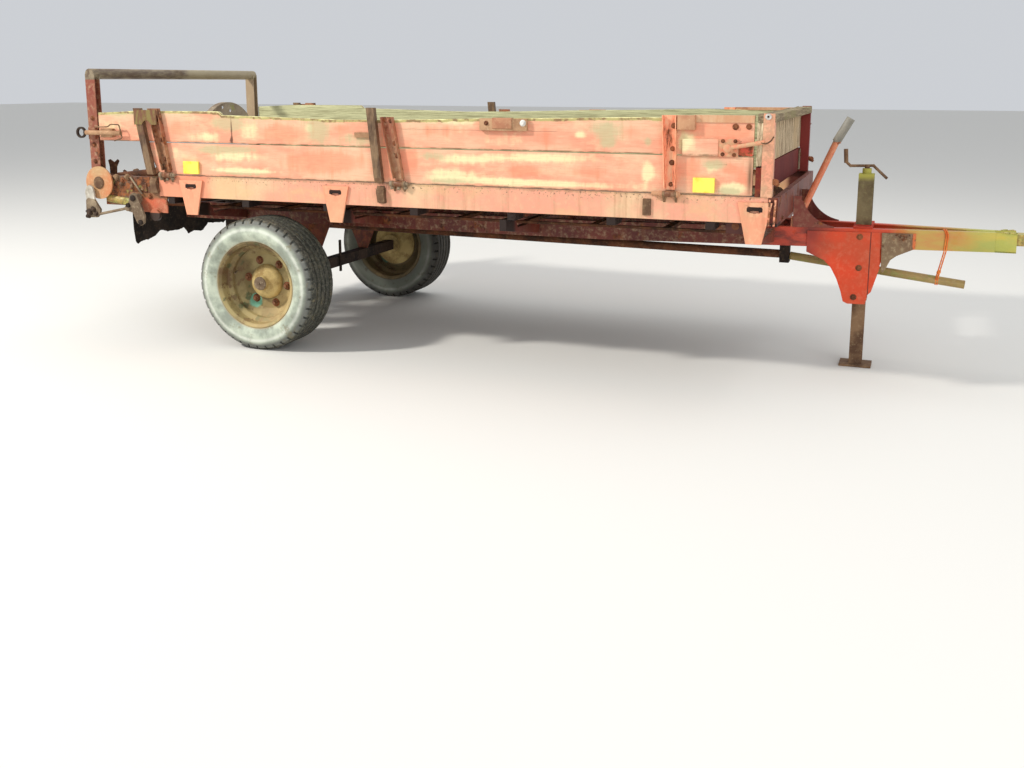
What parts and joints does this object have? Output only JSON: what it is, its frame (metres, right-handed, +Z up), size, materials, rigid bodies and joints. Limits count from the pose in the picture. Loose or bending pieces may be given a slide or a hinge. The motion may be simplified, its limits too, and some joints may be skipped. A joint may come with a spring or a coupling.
{
  "type": "manure spreader",
  "caption": "Old trailed manure spreader with timber drop sides, a moving floor, a rear beater and an A-shaped drawbar on a jack leg.",
  "frame": {"origin": "middle of the whole machine's box, on the ground", "axes": "+X to the tow eye, +Y to the machine's left side, +Z up"},
  "size_m": [5.8948, 2.096, 1.7249],
  "materials": {
    "faded_red_steel": "faded dark red paint with rust",
    "salmon_steel": "bleached salmon paint, chalky",
    "orange_red_steel": "orange-red paint with rust",
    "rusty_steel": "rusted, matte",
    "mossy_steel": "worn to yellow-brown with moss",
    "grey_steel": "dull, stained",
    "gearbox_iron": "greasy, matte",
    "guard_sheet": "stained sheet",
    "red_timber": "faded salmon paint over boards, mossy top edge",
    "grey_timber": "weathered bare boards",
    "yellow_reflector": "dirty yellow",
    "tyre_rubber": "muddy, pale sidewall",
    "tan_rim_paint": "tan and brown with patches of green paint",
    "hub_iron": "rusty"
  },
  "bodies": {
    "chassis": {"chassis_beams": "faded_red_steel", "tow_tongue": "mossy_steel", "tow_eye": "mossy_steel", "axle_beam": "rusty_steel", "axle_brackets": "faded_red_steel", "brake_lever": "rusty_steel", "crossmembers": "faded_red_steel", "sills": "salmon_steel", "sill_brackets": "salmon_steel", "stake_pockets": "rusty_steel", "hinge_ears": "grey_steel", "floor_boards": "grey_timber", "headboard_boards": "grey_timber", "headboard_cleats": "grey_steel", "front_crossmember": "faded_red_steel", "front_braces": "faded_red_steel", "corner_posts": "salmon_steel", "bearing_arms": "faded_red_steel", "hoop": "faded_red_steel", "rear_guard": "guard_sheet", "rear_gearbox": "gearbox_iron", "rear_sheet": "guard_sheet", "conveyor_shafts": "rusty_steel", "conveyor": "rusty_steel", "shaft_plates": "orange_red_steel", "feed_linkage": "rusty_steel", "drive_tube": "rusty_steel", "drive_hanger": "rusty_steel", "pto_shaft": "mossy_steel", "leg_plates": "orange_red_steel", "drawbar_gussets": "mossy_steel", "jack_tube": "salmon_steel", "jack_crank": "grey_steel", "hand_lever": "salmon_steel"},
    "side_right": {"planks_right": "red_timber", "uprights_right": "rusty_steel", "latches_right": "grey_steel", "reflectors_right": "yellow_reflector"},
    "side_left": {"planks_left": "red_timber", "uprights_left": "rusty_steel", "latches_left": "grey_steel", "reflectors_left": "yellow_reflector"},
    "wheel_right": {"tyre_right": "tyre_rubber", "rim_right": "tan_rim_paint", "hub_right": "hub_iron"},
    "wheel_left": {"tyre_left": "tyre_rubber", "rim_left": "tan_rim_paint", "hub_left": "hub_iron"},
    "jack": {"jack_leg": "rusty_steel"},
    "beater": {"beater": "rusty_steel", "crank_disc": "orange_red_steel"}
  },
  "joints": [
    {"name": "side_right_hinge", "type": "hinge", "parent": "chassis", "child": "side_right", "pos_m": [0, -0.933, 1.059], "axis": [1, 0, 0], "range_deg": [0, 135]},
    {"name": "side_left_hinge", "type": "hinge", "parent": "chassis", "child": "side_left", "pos_m": [0, 0.933, 1.059], "axis": [-1, 0, 0], "range_deg": [0, 135]},
    {"name": "wheel_right_spin", "type": "hinge", "parent": "chassis", "child": "wheel_right", "pos_m": [-1.578, -0.893, 0.41], "axis": [0, 1, 0], "continuous": true},
    {"name": "wheel_left_spin", "type": "hinge", "parent": "chassis", "child": "wheel_left", "pos_m": [-1.578, 0.893, 0.41], "axis": [0, 1, 0], "continuous": true},
    {"name": "jack_slide", "type": "slide", "parent": "chassis", "child": "jack", "axis": [0, 0, 1], "range_m": [0, 0.25]},
    {"name": "beater_spin", "type": "hinge", "parent": "chassis", "child": "beater", "pos_m": [-2.806, 0, 0.993], "axis": [0, 1, 0], "continuous": true}
  ]
}
